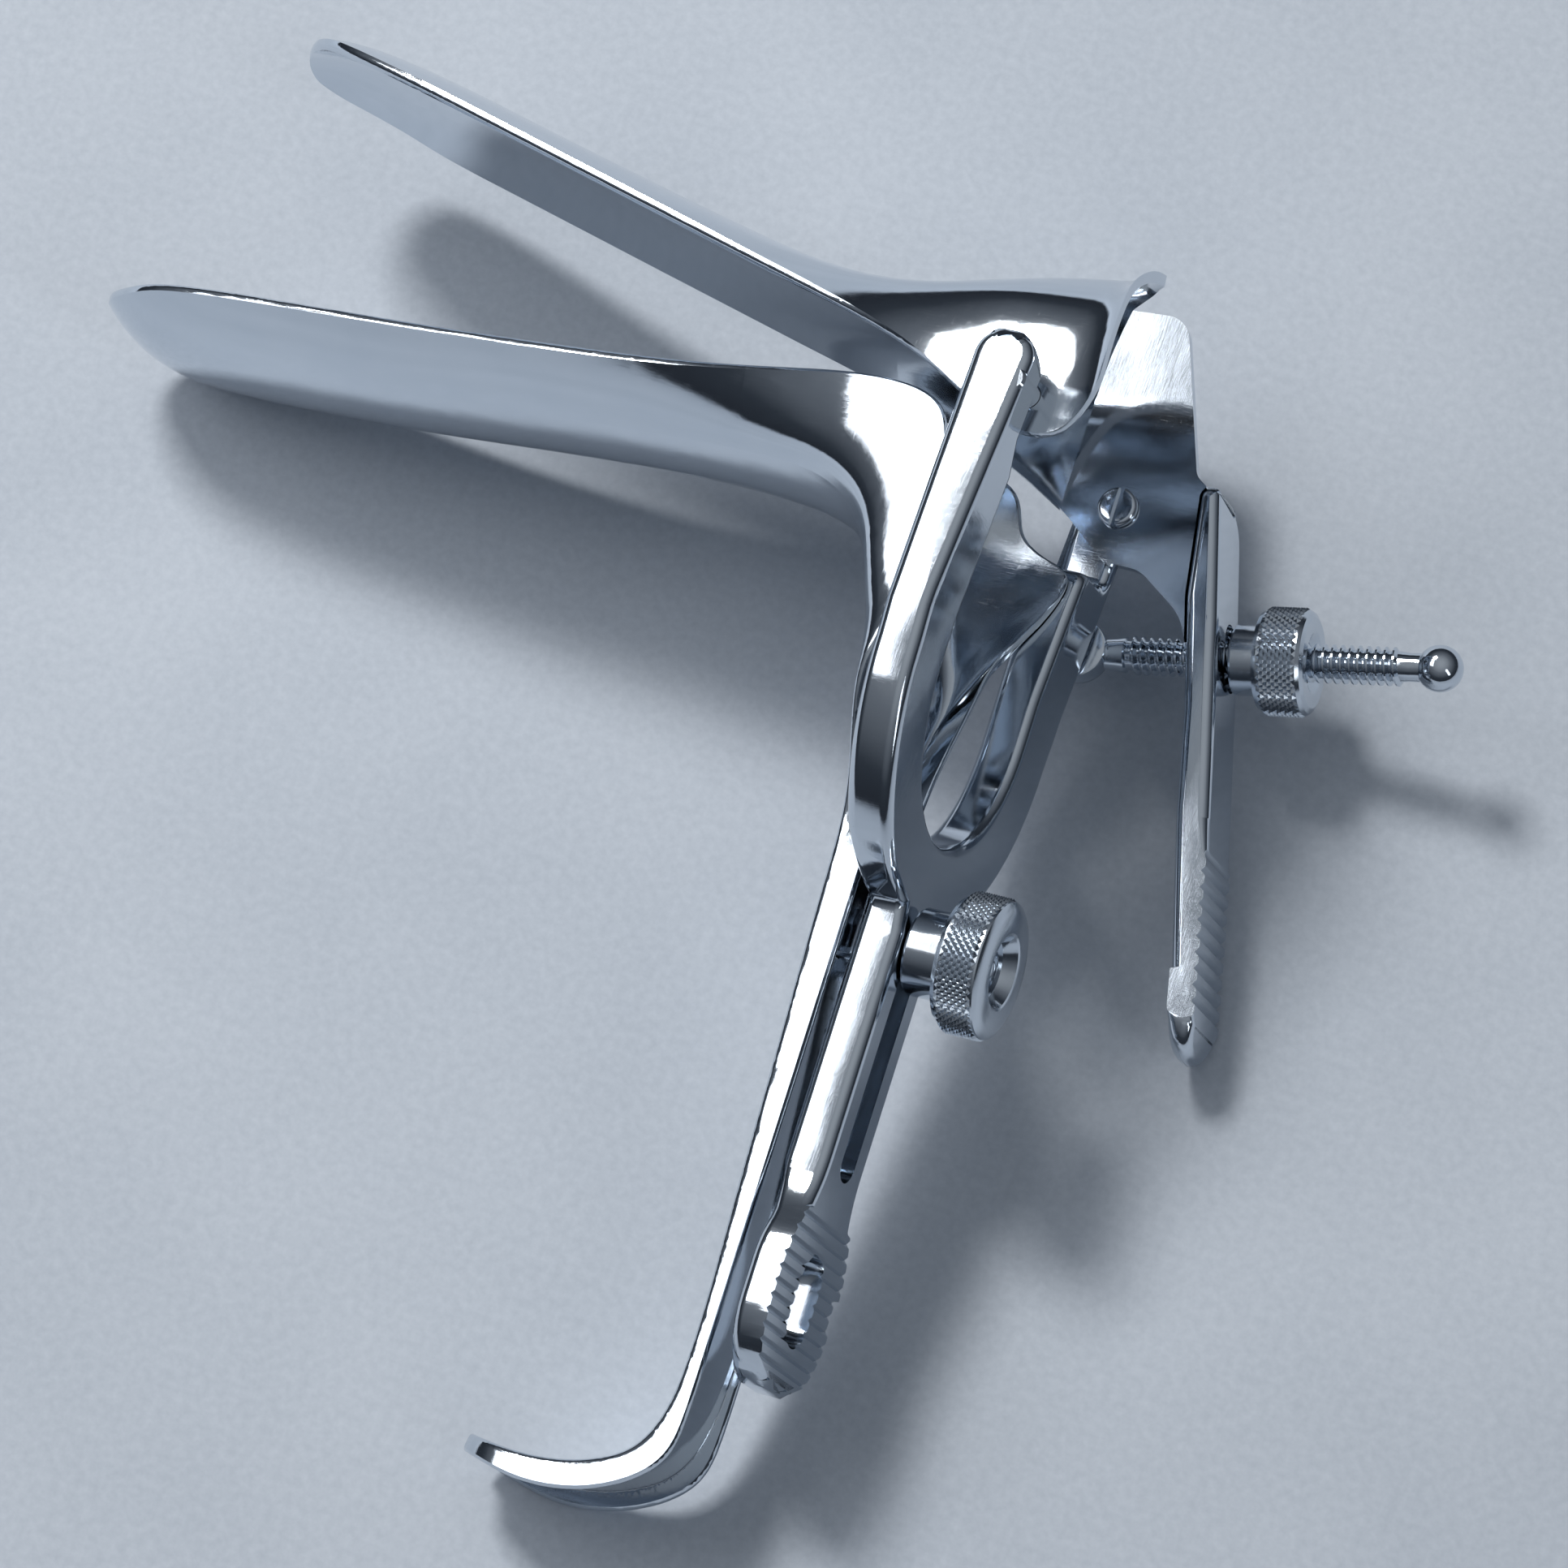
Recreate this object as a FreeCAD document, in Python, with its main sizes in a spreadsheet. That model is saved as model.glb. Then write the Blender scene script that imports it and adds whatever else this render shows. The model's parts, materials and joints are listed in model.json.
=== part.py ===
import FreeCAD, Part
import math
import os
import re

from FreeCAD import Placement, Rotation, Vector

# Bivalve speculum of polished steel, in millimetres.
# It is modelled upright: x runs along the blades to their tips, y to the near arm, z up the handle.
# The last step lays every piece down the way the instrument rests on a table.

SIZES = {
    # wall of the pressed blades
    "blade_wall": 1.3,
    # hinge of the upper blade, on one line through both arms
    "hinge_x": -2.5,
    "hinge_z": -1.0,
    "pivot_diameter": 3.0,
    "pivot_head": 4.6,
    "pivot_head_height": 0.9,
    "pivot_notch_width": 0.7,
    "far_screw_face": 25.0,
    "near_screw_face": 23.0,
    "near_head_seat": 15.1,
    "running_gap": 0.05,
    "side_gap": 0.15,
    # lower blade
    "lower_half_width": 15.5,
    "lower_end": 113.0,
    "lower_tip_length": 16.0,
    "handle_half_width": 6.65,
    "flange_edge_x": 3.45,
    "web_inner_x": 5.55,
    "lower_depth": 6.3,
    "lower_bottom_z": -15.3,
    "lower_tip_rise": 5.4,
    # upper blade
    "upper_half_width": 17.3,
    "upper_end": 98.5,
    "upper_tip_length": 16.0,
    "upper_depth": 4.1,
    "upper_crown_z": 24.7,
    "upper_slope": 0.26,
    "upper_tip_drop": 5.2,
    "wing_inner_y": 21.5,
    # yoke
    "arm_inner": 15.7,
    "arm_outer": 25.4,
    "arm_top": 4.5,
    "arm_front_x": 2.9,
    "arm_back_x": -2.4,
    "arm_top_back_x": -4.2,
    "arm_seat": 17.5,
    "tab_inner": 23.05,
    "bow_centre_z": -31.8,
    "bow_outer_radius": 25.0,
    "stem_half_width": 6.0,
    "stem_back_x": -3.3,
    "stem_front_x": 1.9,
    "slot_width": 4.5,
    "slot_top": -57.0,
    "slot_bottom": -86.0,
    "paddle_half_width": 10.0,
    "paddle_centre_z": -99.5,
    "paddle_bottom": -110.0,
    "paddle_front_x": 0.6,
    "paddle_hole_width": 6.8,
    "paddle_hole_length": 10.4,
    "rib_top": -91.2,
    "rib_pitch": 1.6,
    "rib_depth": 0.35,
    # clamp
    "clamp_z": -59.5,
    "stud_diameter": 4.0,
    "stud_shoulder": 5.2,
    "stud_foot_x": 6.9,
    "stud_end_x": -12.4,
    "collar_length": 4.6,
    "collar_diameter": 9.8,
    "clamp_head_length": 5.6,
    "clamp_head_diameter": 15.8,
    "nut_chamfer": 0.8,
    "recess_diameter": 8.0,
    "recess_depth": 1.6,
    # thumb lever
    "lever_near_y": 21.3,
    "lever_width": 10.7,
    "lever_slot_width": 5.4,
    "lever_slot_length": 7.6,
    "lever_slot_z": -13.5,
    "lever_top": 3.8,
    "lever_bottom": -59.6,
    "groove_top_x": -24.7,
    "groove_top_z": -37.2,
    "groove_pitch": 1.85,
    "groove_depth": 0.5,
    # spindle
    "spindle_pivot_x": -1.0,
    "spindle_pivot_z": -16.65,
    "spindle_rise": 10.3,
    "spindle_y": 28.0,
    "spindle_diameter": 4.4,
    "spindle_length": 41.5,
    "eye_diameter": 7.0,
    "eye_thickness": 3.0,
    "eye_pin_diameter": 2.6,
    "olive_diameter": 5.3,
    "lever_nut_start": 18.1,
    "lever_collar_length": 3.2,
    "lever_collar_diameter": 8.0,
    "lever_head_length": 5.8,
    "lever_head_diameter": 12.3,
    "lever_nut_flare": 1.2,
}

doc = FreeCAD.newDocument("bivalve_speculum")
sheet = doc.addObject("Spreadsheet::Sheet", "Sizes")
for row, (name, value) in enumerate(SIZES.items(), start=1):
    sheet.set("A%d" % row, name)
    sheet.set("B%d" % row, str(value))
    sheet.setAlias("B%d" % row, name)
doc.recompute()


def size(name):
    """Value of one cell of the sheet."""
    return float(sheet.get(name))


def formula(text):
    """Expression on the sheet's cells, from plain cell names."""
    def cell(word):
        return "Sizes." + word.group() if word.group() in SIZES else word.group()

    return re.sub(r"[a-z_]+", cell, text)


def bind(item, **formulas):
    for prop, text in formulas.items():
        item.setExpression(prop.replace("__", "."), formula(text))
    return item


# Outlines

def wire_from(segments, start, to_space):
    """Closed wire from a start point and segments: (end,) for a line, (middle, end) for an arc."""
    edges = []
    here = start
    for segment in segments:
        end = segment[-1]
        if len(segment) == 1:
            edges.append(Part.makeLine(to_space(here), to_space(end)))
        else:
            edges.append(Part.Arc(to_space(here), to_space(segment[0]), to_space(end)).toShape())
        here = end
    return Part.Wire(edges)


def rounded(corners, to_space):
    """Closed wire through corners (a, b, radius), each corner rounded by its radius."""
    edges = []
    count = len(corners)
    starts = []
    ends = []
    middles = []
    for i in range(count):
        before = Vector(corners[i - 1][0], corners[i - 1][1], 0)
        corner = Vector(corners[i][0], corners[i][1], 0)
        after = Vector(corners[(i + 1) % count][0], corners[(i + 1) % count][1], 0)
        radius = corners[i][2]
        back = (before - corner).normalize()
        ahead = (after - corner).normalize()
        half = back.getAngle(ahead) / 2
        if radius == 0:
            starts.append(corner)
            ends.append(corner)
            middles.append(None)
            continue
        reach = radius / math.tan(half)
        inward = (back + ahead).normalize()
        starts.append(corner + back * reach)
        ends.append(corner + ahead * reach)
        middles.append(corner + inward * (radius / math.sin(half) - radius))
    for i in range(count):
        if middles[i] is not None:
            arc = [to_space((p.x, p.y)) for p in (starts[i], middles[i], ends[i])]
            edges.append(Part.Arc(arc[0], arc[1], arc[2]).toShape())
        line = [to_space((p.x, p.y)) for p in (ends[i], starts[(i + 1) % count])]
        if (line[1] - line[0]).Length > 1e-6:
            edges.append(Part.makeLine(line[0], line[1]))
    return Part.Wire(edges)


def in_side_view(point):
    """Point (x, z) of the side view."""
    return Vector(point[0], 0, point[1])


def in_front_view(point):
    """Point (y, z) of the front view."""
    return Vector(0, point[0], point[1])


def hidden(name, shape):
    item = doc.addObject("Part::Feature", name)
    item.Shape = shape
    return item


def prism(name, wire, direction, length, offset=None):
    """Solid drawn out of an outline along a direction, with its length bound to the sheet."""
    outline = hidden(name + "_outline", wire)
    item = doc.addObject("Part::Extrusion", name)
    item.Base = outline
    item.DirMode = "Custom"
    item.Dir = direction
    item.Solid = True
    item.setExpression("LengthFwd", formula(length))
    if offset is not None:
        item.setExpression("LengthRev", formula(offset))
    return item


def cut(name, base, tool):
    item = doc.addObject("Part::Cut", name)
    item.Base = base
    item.Tool = tool
    return item


def fuse(name, shapes):
    item = doc.addObject("Part::MultiFuse", name)
    item.Shapes = shapes
    item.Refine = True
    return item


def common(name, first, second):
    item = doc.addObject("Part::MultiCommon", name)
    item.Shapes = [first, second]
    return item


def cylinder(name, radius, height, base, axis):
    """Cylinder bound to the sheet. Base is three formulas and axis a direction."""
    item = doc.addObject("Part::Cylinder", name)
    item.Placement = Placement(Vector(), Rotation(Vector(0, 0, 1), axis))
    bind(item, Radius=radius, Height=height,
         Placement__Base__x=base[0], Placement__Base__y=base[1], Placement__Base__z=base[2])
    return item


def box(name, lengths, base):
    item = doc.addObject("Part::Box", name)
    bind(item, Length=lengths[0], Width=lengths[1], Height=lengths[2],
         Placement__Base__x=base[0], Placement__Base__y=base[1], Placement__Base__z=base[2])
    return item


def turned(name, profile, base, axis):
    """Solid turned about its own axis from a profile of (distance along, radius) corners."""
    points = [Vector(r, 0, a) for a, r in profile]
    wire = Part.makePolygon(points + [points[0]])
    outline = hidden(name + "_outline", wire)
    item = doc.addObject("Part::Revolution", name)
    item.Source = outline
    item.Axis = Vector(0, 0, 1)
    item.Angle = 360
    item.Solid = True
    item.Placement = Placement(base, Rotation(Vector(0, 0, 1), axis))
    return item


# Pressed sheets

# Poles on each side of a section's middle, and the knots where its flat web ends
POLES = 7
WEB_CUTS = (3, 9)


def section(near_width, far_width, depth, squareness, wall):
    """Half sections of a trough: lists of (y, v), v being the distance from the rim to the bottom."""
    outer = []
    inner = []
    for side, width in ((-1, far_width), (1, near_width)):
        opening = min(2 * math.atan2(depth, width), math.pi / 2)
        bend = max(0.3 * min(width, depth), 1.1 * wall)
        web = width - bend
        flat = [(0, depth), (0.4 * web, depth), (0.75 * web, depth), (web, depth),
                (width, depth), (width, depth - bend), (width, 0.45 * (depth - bend)), (width, 0)]
        inset = [(0, wall), (0, wall), (0, wall), (0, wall), (wall, wall), (wall, 0), (wall, 0), (wall, 0)]
        side_outer = []
        side_inner = []
        for k in range(POLES + 1):
            turn = opening * k / POLES
            round_y = width * math.sin(turn) / math.sin(opening)
            round_v = depth * (math.cos(turn) - math.cos(opening)) / (1 - math.cos(opening))
            y = (1 - squareness) * round_y + squareness * flat[k][0]
            v = (1 - squareness) * round_v + squareness * flat[k][1]
            in_y = (1 - squareness) * wall * math.sin(turn) + squareness * inset[k][0]
            in_v = (1 - squareness) * wall * math.cos(turn) + squareness * inset[k][1]
            side_outer.append((side * y, v))
            side_inner.append((side * (y - in_y), v - in_v))
        if side == -1:
            outer = side_outer[:0:-1]
            inner = side_inner[:0:-1]
        else:
            outer += side_outer
            inner += side_inner
    return outer, inner


def spline_faces(rows, across_degree, along_cuts, across_cuts=()):
    """Faces of a smooth surface with a net of poles, clamped at its four sides and split at its knots."""
    along_degree = 3

    def clamped(count, degree):
        inner_knots = count - degree - 1
        knots = [float(k) for k in range(inner_knots + 2)]
        return knots, [degree + 1] + [1] * inner_knots + [degree + 1]
    u_knots, u_mults = clamped(len(rows), along_degree)
    v_knots, v_mults = clamped(len(rows[0]), across_degree)
    surface = Part.BSplineSurface()
    surface.buildFromPolesMultsKnots(rows, u_mults, v_mults, u_knots, v_knots, False, False,
                                     along_degree, across_degree)
    along = [u_knots[0], *along_cuts, u_knots[-1]]
    across = [v_knots[0], *across_cuts, v_knots[-1]]
    faces = []
    for start, end in zip(along, along[1:]):
        for left, right in zip(across, across[1:]):
            part = surface.copy()
            part.segment(start, end, left, right)
            faces.append(part.toShape().Faces[0])
    return faces


def pressed_sheet(stations, wall, along_cuts):
    """Solid of a pressed sheet. A station is (rim point, bottom point, near width, far width, squareness),
    its points being (x, z) in the middle plane."""
    outer_rows = []
    inner_rows = []
    for rim, bottom, near_width, far_width, squareness in stations:
        rim_point = Vector(rim[0], 0, rim[1])
        fall = Vector(bottom[0], 0, bottom[1]) - rim_point
        depth = fall.Length
        fall.normalize()
        outer, inner = section(near_width, far_width, depth, squareness, wall)
        outer_rows.append([rim_point + fall * v + Vector(0, y, 0) for y, v in outer])
        inner_rows.append([rim_point + fall * v + Vector(0, y, 0) for y, v in inner])
    rims = []
    for end, next_to_end in ((0, 1), (-1, -2)):
        strip = []
        for outer_row, inner_row in zip(outer_rows, inner_rows):
            ahead = (outer_row[end] - outer_row[next_to_end]).normalize()
            middle = (outer_row[end] + inner_row[end]) / 2 + ahead * (wall / 2)
            strip.append([outer_row[end], middle, inner_row[end]])
        rims.append(strip)
    faces = spline_faces(outer_rows, 3, along_cuts, WEB_CUTS)
    faces += spline_faces(inner_rows, 3, along_cuts, WEB_CUTS)
    for strip in rims:
        faces += spline_faces(strip, 2, along_cuts)
    loops = []
    for station in (0, -1):
        point = outer_rows[station][POLES]
        loop = [edge for face in faces for edge in face.Edges
                if all(abs((vertex.Point - point).dot(plane_normal(outer_rows[station]))) < 1e-5
                       for vertex in edge.Vertexes)]
        near = [edge for edge in loop if edge.distToShape(Part.Vertex(point))[0] < 40]
        loops.append(Part.Face(Part.Wire(Part.__sortEdges__(near))))
    whole = Part.Shell(faces + loops)
    whole.sewShape()
    solid = Part.Solid(whole.Shells[0] if whole.ShapeType != "Shell" else whole)
    if solid.Volume < 0:
        solid.reverse()
    return solid


def plane_normal(row):
    """Normal of the plane of one row of poles."""
    first = row[0]
    middle = row[POLES]
    last = row[-1]
    return (first - middle).cross(last - middle).normalize()


def arc_depth(width, full_width, full_depth):
    """Depth of a narrower slice of the arc that is full_width wide and full_depth deep."""
    radius = (full_width ** 2 + full_depth ** 2) / (2 * full_depth)
    return radius - math.sqrt(radius ** 2 - width ** 2)


wall = size("blade_wall")
TIP_TURNS = (88, 78, 66, 52, 36, 18)


def tip_stations(end, length, half_width, full_depth, bottom_line):
    """Stations of a rounded blade end, from its point back to the full width."""
    stations = []
    for turn in TIP_TURNS:
        width = half_width * math.cos(math.radians(turn))
        x = end - length + length * math.sin(math.radians(turn))
        depth = arc_depth(width, half_width, full_depth)
        bottom = bottom_line(x)
        sign = 1 if bottom > 0 else -1
        stations.append(((x, bottom - sign * depth), (x, bottom), width, width, 0))
    return stations


# Lower blade: trough, root bend, funnel, handle channel and hook in one sheet

def lower_tip_bottom(x):
    """Bottom line of the trough near its end, which rises to the point."""
    start = size("lower_end") - size("lower_tip_length")
    share = max(0, (x - start) / size("lower_tip_length"))
    return size("lower_bottom_z") + size("lower_tip_rise") * share ** 3


full = size("lower_half_width")
narrow = size("handle_half_width")
edge_x = size("flange_edge_x")
lower = tip_stations(size("lower_end"), size("lower_tip_length"), full, size("lower_depth"),
                     lower_tip_bottom)
lower += [
    ((91, -9.0), (91, size("lower_bottom_z")), full, full, 0),
    ((77, -8.4), (77, -14.9), full, full, 0),
    ((65, -7.8), (65, -14.1), full, full, 0),
    ((52, -6.9), (52, -13.3), full, full, 0),
    ((40, -5.9), (40, -12.8), full, full, 0),
    ((30, -4.4), (30.5, -12.9), full, full, 0.1),
    ((21.5, -2.7), (24, -13.5), full, full, 0.25),
    ((15.0, -1.9), (19.5, -14.8), full, full, 0.4),
    ((9.0, -2.4), (16.3, -17.0), full, full, 0.5),
    ((6.4, -4.6), (14.2, -19.8), full, full, 0.55),
    ((5.6, -7.8), (12.9, -22.4), full, full, 0.58),
    ((4.0, -9.4), (11.9, -24.9), full, full, 0.62),
    ((1.6, -10.5), (11.0, -27.3), full, full, 0.66),
    ((-2.1, -11.4), (10.2, -29.7), full, full, 0.7),
    ((-1.2, -15.0), (9.5, -32.0), full, full, 0.72),
    ((0.6, -19.0), (8.9, -34.4), full - 0.1, full - 0.1, 0.74),
    ((edge_x, -23.0), (8.4, -37.0), 14.7, 14.7, 0.76),
    ((edge_x, -28.5), (8.0, -40.0), 12.8, 12.8, 0.8),
    ((edge_x, -34.5), (7.6, -43.5), 9.9, 9.9, 0.85),
    ((edge_x, -40.5), (7.4, -47.0), 7.6, 7.6, 0.9),
    ((edge_x, -47.0), (7.2, -51.0), narrow + 0.1, narrow + 0.1, 0.95),
    ((edge_x, -55.0), (7.0, -57.0), narrow, narrow, 1),
    ((edge_x, -65.0), (6.7, -66.0), narrow, narrow, 1),
    ((edge_x, -78.0), (6.2, -78.0), narrow, narrow, 1),
    ((edge_x, -91.0), (5.8, -91.0), narrow, narrow, 1),
    ((edge_x, -103.0), (5.2, -102.5), narrow, narrow, 1),
    ((edge_x, -111.5), (5.2, -110.5), narrow, narrow, 1),
    ((edge_x, -116.0), (5.6, -114.5), narrow, narrow, 1),
    ((3.9, -119.6), (6.6, -117.8), narrow, narrow, 1),
    ((6.0, -122.4), (8.3, -120.3), narrow, narrow, 1),
    ((9.6, -124.6), (11.0, -121.9), narrow, narrow, 1),
    ((13.6, -126.0), (14.5, -123.1), narrow, narrow, 1),
    ((18.5, -126.5), (18.8, -123.7), narrow, narrow, 1),
    ((22.5, -125.9), (22.4, -123.6), narrow, narrow, 1),
    ((25.0, -125.2), (24.8, -123.3), narrow - 0.7, narrow - 0.7, 1),
    ((26.8, -124.8), (26.6, -123.0), narrow - 2.0, narrow - 2.0, 1),
    ((27.7, -124.5), (27.5, -122.8), narrow - 3.4, narrow - 3.4, 1),
]
posterior_sheet = hidden("lower_sheet", pressed_sheet(lower, wall, (5, 10, 22, 27, 31)))
stud_hole = cylinder("stud_hole", "stud_diameter / 2", "10", ("0", "0", "clamp_z"), Vector(1, 0, 0))
posterior_blade = cut("posterior_blade", posterior_sheet, stud_hole)

# Upper blade: trough, arched mouth and near ear in one sheet, with the far wing joined on

def upper_crown(x):
    """Crown line of the upper blade near its end."""
    start = size("upper_end") - size("upper_tip_length")
    share = max(0, (x - start) / size("upper_tip_length"))
    return size("upper_crown_z") + size("upper_slope") * (x - start) - size("upper_tip_drop") * share ** 3


wide = size("upper_half_width")
far = size("wing_inner_y") + wall
upper = tip_stations(size("upper_end"), size("upper_tip_length"), wide, size("upper_depth"), upper_crown)
upper += [
    ((78, 19.9), (78, 24.0), wide, wide, 0),
    ((66, 16.8), (66, 20.9), wide, wide, 0),
    ((54, 13.7), (54, 18.0), wide, wide, 0),
    ((42, 10.6), (42, 15.2), wide, wide, 0),
    ((32, 8.0), (32, 12.9), wide, wide, 0.05),
    ((25, 6.2), (25, 12.0), wide, wide + 0.6, 0.1),
    ((19, 4.5), (19, 12.2), wide, wide + 2.2, 0.15),
    ((14, 2.8), (13.5, 13.3), wide, wide + 4.2, 0.2),
    ((9.5, 0.8), (8.5, 14.8), wide, far, 0.25),
    ((5.0, -1.8), (4.0, 16.2), wide, far, 0.25),
    ((1.0, -4.0), (0.3, 17.2), wide, far, 0.25),
    ((-3.0, -5.2), (-2.9, 17.8), wide, far, 0.25),
    ((-6.5, -4.8), (-5.3, 18.1), wide, far, 0.25),
    ((-8.8, -2.6), (-6.9, 18.4), wide + 0.2, far, 0.22),
    ((-9.8, 0.4), (-8.0, 18.9), wide + 0.5, far, 0.2),
    ((-10.2, 2.6), (-8.7, 19.6), wide + 0.9, far, 0.2),
]
mouth_sheet = hidden("mouth_sheet", pressed_sheet(upper, wall, (5, 10)))
# The far side of the mouth is cut away on a slant, which leaves the wing standing free
slant_corners = [(-14, 3.5), (-14, -34), (8, -34), (4.2, -21.5), (0.3, -12), (-4, -2.5), (-8.4, 3.5),
                 (-14, 3.5)]
slant = Part.makePolygon([Vector(x, y, -12) for x, y in slant_corners])
mouth_cutter = prism("mouth_cutter", slant, Vector(0, 0, 1), "40")
mouth = cut("mouth", mouth_sheet, mouth_cutter)

wing_corners = [
    (12.0, 2.6, 0), (12.0, 12.0, 4), (8.0, 21.5, 5), (-3.6, 22.3, 3.2), (-10.2, 4.6, 2), (-12.4, 3.2, 0),
    (-14.6, -6.0, 0), (-18.4, -20.0, 0), (-17.6, -21.5, 0), (-13.4, -11.6, 7),
    (-7.0, -7.4, 4), (-2.6, -7.4, 2.5), (3.0, -3.2, 4),
]
wing_plate = prism("wing_plate", rounded(wing_corners, in_side_view), Vector(0, -1, 0),
                   "wing_inner_y + blade_wall", "-wing_inner_y")
upper_body = fuse("upper_body", [mouth, wing_plate])
hinge_hole = cylinder("hinge_hole", "pivot_diameter / 2 + running_gap", "60", ("hinge_x", "-30", "hinge_z"),
                      Vector(0, 1, 0))

# Thumb lever: bar with a side profile and a rounded end
lever_top = size("lever_top")
lever_bottom = size("lever_bottom")
lever_side = [
    (-11.0, lever_top, 1.2), (-13.2, lever_top, 0.8), (-17.4, -10.7, 30), (-23.4, -33.0, 0),
    (-27.9, -53.0, 20),
    (-28.4, lever_bottom - 1, 0.8), (-26.5, lever_bottom - 1, 0.8), (-24.4, -51.0, 20), (-19.3, -33.0, 20),
    (-16.6, -21.5, 20), (-13.0, -9.0, 10),
]
lever_near = -size("lever_near_y")
lever_far = lever_near - size("lever_width")
lever_bar = prism("lever_bar", rounded(lever_side, in_side_view), Vector(0, -1, 0),
                  "lever_near_y + lever_width", "-lever_near_y")
lever_front = [(lever_near, lever_top, 0.6), (lever_near, lever_bottom, 4.8), (lever_far, lever_bottom, 4.8),
               (lever_far, lever_top, 4.0)]
lever_shape = prism("lever_shape", rounded(lever_front, in_front_view), Vector(-1, 0, 0), "40")
lever_blank = common("lever_blank", lever_bar, lever_shape)
spindle_y = -size("spindle_y")
slot_half = size("lever_slot_width") / 2
slot_z = size("lever_slot_z")
slot_reach = size("lever_slot_length") / 2
lever_slot_corners = [
    (spindle_y - slot_half, slot_z - slot_reach, slot_half * 0.99),
    (spindle_y - slot_half, slot_z + slot_reach, slot_half * 0.99),
    (spindle_y + slot_half, slot_z + slot_reach, slot_half * 0.99),
    (spindle_y + slot_half, slot_z - slot_reach, slot_half * 0.99),
]
lever_slot = prism("lever_slot", rounded(lever_slot_corners, in_front_view), Vector(-1, 0, 0), "40")
GROOVES = 10
GROOVE_SLOPE = Vector(-0.225, 0, -0.974)
grooves = []
for i in range(GROOVES):
    centre = Vector(size("groove_top_x"), 0, size("groove_top_z")) + GROOVE_SLOPE * (i * size("groove_pitch"))
    outward = Vector(-0.974, 0, 0.225)
    half = size("groove_pitch") * 0.42
    depth = size("groove_depth")
    corners = [centre + outward - GROOVE_SLOPE * half * 2, centre + outward + GROOVE_SLOPE * half * 2,
               centre - outward * depth]
    triangle = Part.makePolygon(corners + [corners[0]])
    grooves.append(Part.Face(triangle).extrude(Vector(0, -60, 0)))
groove_cutter = hidden("groove_cutter", Part.makeCompound(grooves))
lever_slotted = cut("lever_slotted", lever_blank, lever_slot)
thumb_lever = cut("thumb_lever", lever_slotted, groove_cutter)

wing_trim = cut("wing_trim", upper_body, lever_bar)
anterior_blade = cut("anterior_blade", wing_trim, hinge_hole)

# Yoke: two arms on a bow, a slotted stem and a ribbed finger paddle
inner = size("arm_inner")
outer = size("arm_outer")
bow_z = size("bow_centre_z")
bow_radius = size("bow_outer_radius")
stem = size("stem_half_width")
seat = size("arm_seat")
tab = size("tab_inner")
top = size("arm_top")
bow_foot = bow_z - math.sqrt(bow_radius ** 2 - stem ** 2)
bow_side = math.radians(48)
side_y = bow_radius * math.cos(bow_side)
side_z = bow_z - bow_radius * math.sin(bow_side)
yoke_front = wire_from([
    ((seat + 3.6, top),),
    ((seat, 1.2),),
    ((seat, -6.2),),
    ((inner, -10.0),),
    ((inner, bow_z),),
    ((0, bow_z - inner), (-inner, bow_z)),
    ((-inner, -12.2),),
    ((-inner - 0.6, -10.8), (-inner - 2.0, -10.2)),
    ((-tab + 1.2, -10.2),),
    ((-tab + 0.35, -9.85), (-tab, -9.0)),
    ((-tab, top),),
    ((-outer + 1.2, top),),
    ((-outer + 0.3, top - 0.4), (-outer, top - 1.4)),
    ((-outer, bow_z + 4),),
    ((-bow_radius, bow_z),),
    ((-side_y, side_z), (-stem, bow_foot)),
    ((-stem, -70.0),),
    ((stem, -70.0),),
    ((stem, bow_foot),),
    ((side_y, side_z), (bow_radius, bow_z)),
    ((outer, bow_z + 4),),
    ((23.6, -6.0),),
    ((22.6, top - 1.4),),
    ((22.3, top - 0.4), (21.6, top)),
], (21.6, top), in_front_view)
yoke_plate = prism("yoke_plate", yoke_front, Vector(1, 0, 0), "10", "10")
stem_back = size("stem_back_x")
stem_front = size("stem_front_x")
arm_back = size("arm_back_x")
arm_front = size("arm_front_x")
yoke_side = [
    (size("arm_top_back_x"), top, 3.2), (arm_back, -26.0, 30), (arm_back, -53.0, 8), (stem_back, -59.0, 8),
    (stem_back, -72.0, 0), (stem_front, -72.0, 0), (stem_front, -56.5, 6), (arm_front, -51.0, 6),
    (arm_front, top, 3.2),
]
yoke_thickness = prism("yoke_thickness", rounded(yoke_side, in_side_view), Vector(0, 1, 0), "40", "40")
yoke_arms = common("yoke_arms", yoke_plate, yoke_thickness)

paddle_half = size("paddle_half_width")
paddle_z = size("paddle_centre_z")
paddle_low = size("paddle_bottom")
paddle_front_view = [
    (stem, -69.0, 0), (stem, -88.0, 14), (paddle_half, -95.0, 9), (paddle_half, paddle_low, 8.5),
    (-paddle_half, paddle_low, 8.5), (-paddle_half, -95.0, 9), (-stem, -88.0, 14), (-stem, -69.0, 0),
]
stem_plate = prism("stem_plate", rounded(paddle_front_view, in_front_view), Vector(1, 0, 0), "10", "10")
stem_side = [
    (stem_back, -69.0, 0), (stem_back, paddle_low, 1.2), (size("paddle_front_x"), paddle_low, 1.2),
    (size("paddle_front_x"), -92.0, 8), (stem_front, -86.0, 8), (stem_front, -69.0, 0),
]
stem_thickness = prism("stem_thickness", rounded(stem_side, in_side_view), Vector(0, 1, 0), "40", "40")
stem_and_paddle = common("stem_and_paddle", stem_plate, stem_thickness)
yoke_blank = fuse("yoke_blank", [yoke_arms, stem_and_paddle])

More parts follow.
